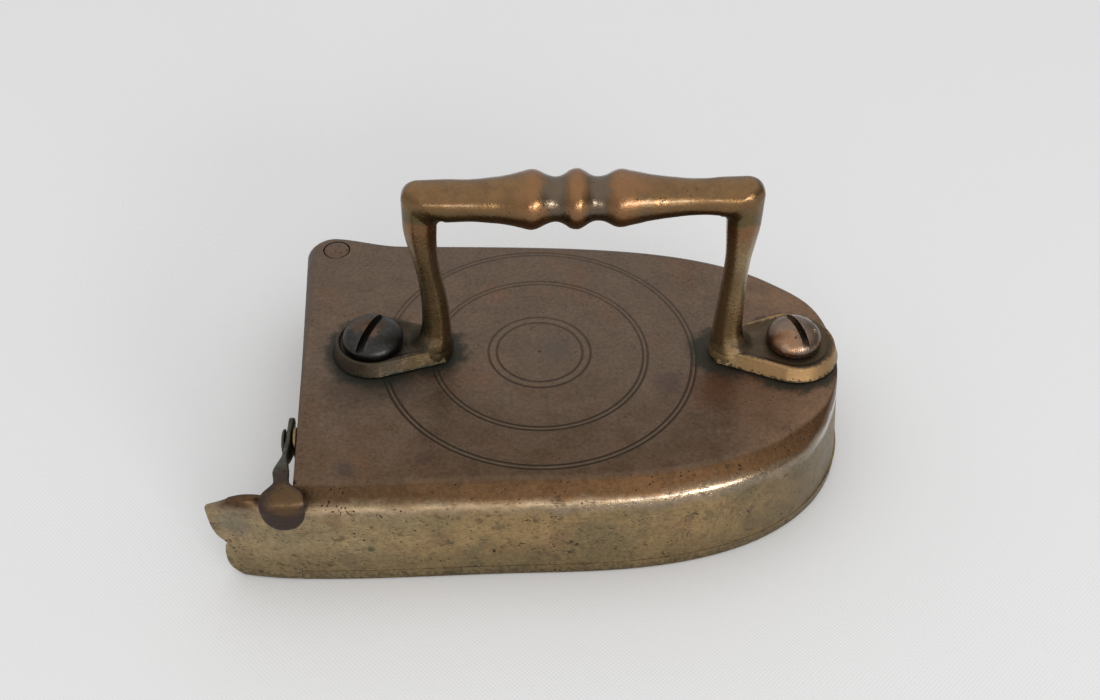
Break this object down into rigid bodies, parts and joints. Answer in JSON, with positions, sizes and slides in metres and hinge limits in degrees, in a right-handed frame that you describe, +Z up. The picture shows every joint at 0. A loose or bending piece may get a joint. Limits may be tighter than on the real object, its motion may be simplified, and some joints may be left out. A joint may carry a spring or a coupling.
{
  "type": "slug iron",
  "caption": "Brass box iron with a broad blunt nose, a bridge handle turned with beads, a side-hinged heel gate, a hooked latch and a loose iron slug.",
  "frame": {"origin": "on the flat underside of the sole, below the centre of the rings scribed on the top", "axes": "+X to the nose, +Y to the far side that carries the gate's hinge, +Z up"},
  "size_m": [0.1727, 0.1111, 0.0927],
  "materials": {
    "aged_brass": "cast, worn and brown with age",
    "rubbed_brass": "cast, rubbed brighter by hands",
    "screw_brass": "worn, with green corrosion round the head",
    "dark_iron": "dark and oxidised",
    "slug_iron": "rough casting, fire scaled"
  },
  "bodies": {
    "casing": {"shell": "aged_brass", "sole_plate": "aged_brass", "handle": "rubbed_brass", "handle_screw_rear": "dark_iron", "handle_screw_front": "screw_brass", "hinge_pin": "aged_brass"},
    "gate": {"gate": "aged_brass", "latch_rivet": "dark_iron", "latch_washer": "aged_brass"},
    "latch": {"latch_lever": "dark_iron"},
    "slug": {"slug": "slug_iron"}
  },
  "joints": [
    {"name": "gate_hinge", "type": "hinge", "parent": "casing", "child": "gate", "pos_m": [-0.06141, 0.0447, 0.016], "axis": [0, 0, -1], "range_deg": [0, 110]},
    {"name": "latch_lift", "type": "hinge", "parent": "gate", "child": "latch", "pos_m": [-0.06636, -0.02964, 0.026], "axis": [-0.9987, -0.0505, 0], "range_deg": [0, 40]},
    {"name": "slug_slide", "type": "slide", "parent": "casing", "child": "slug", "axis": [-1, 0, 0], "range_m": [0, 0.0022]}
  ]
}
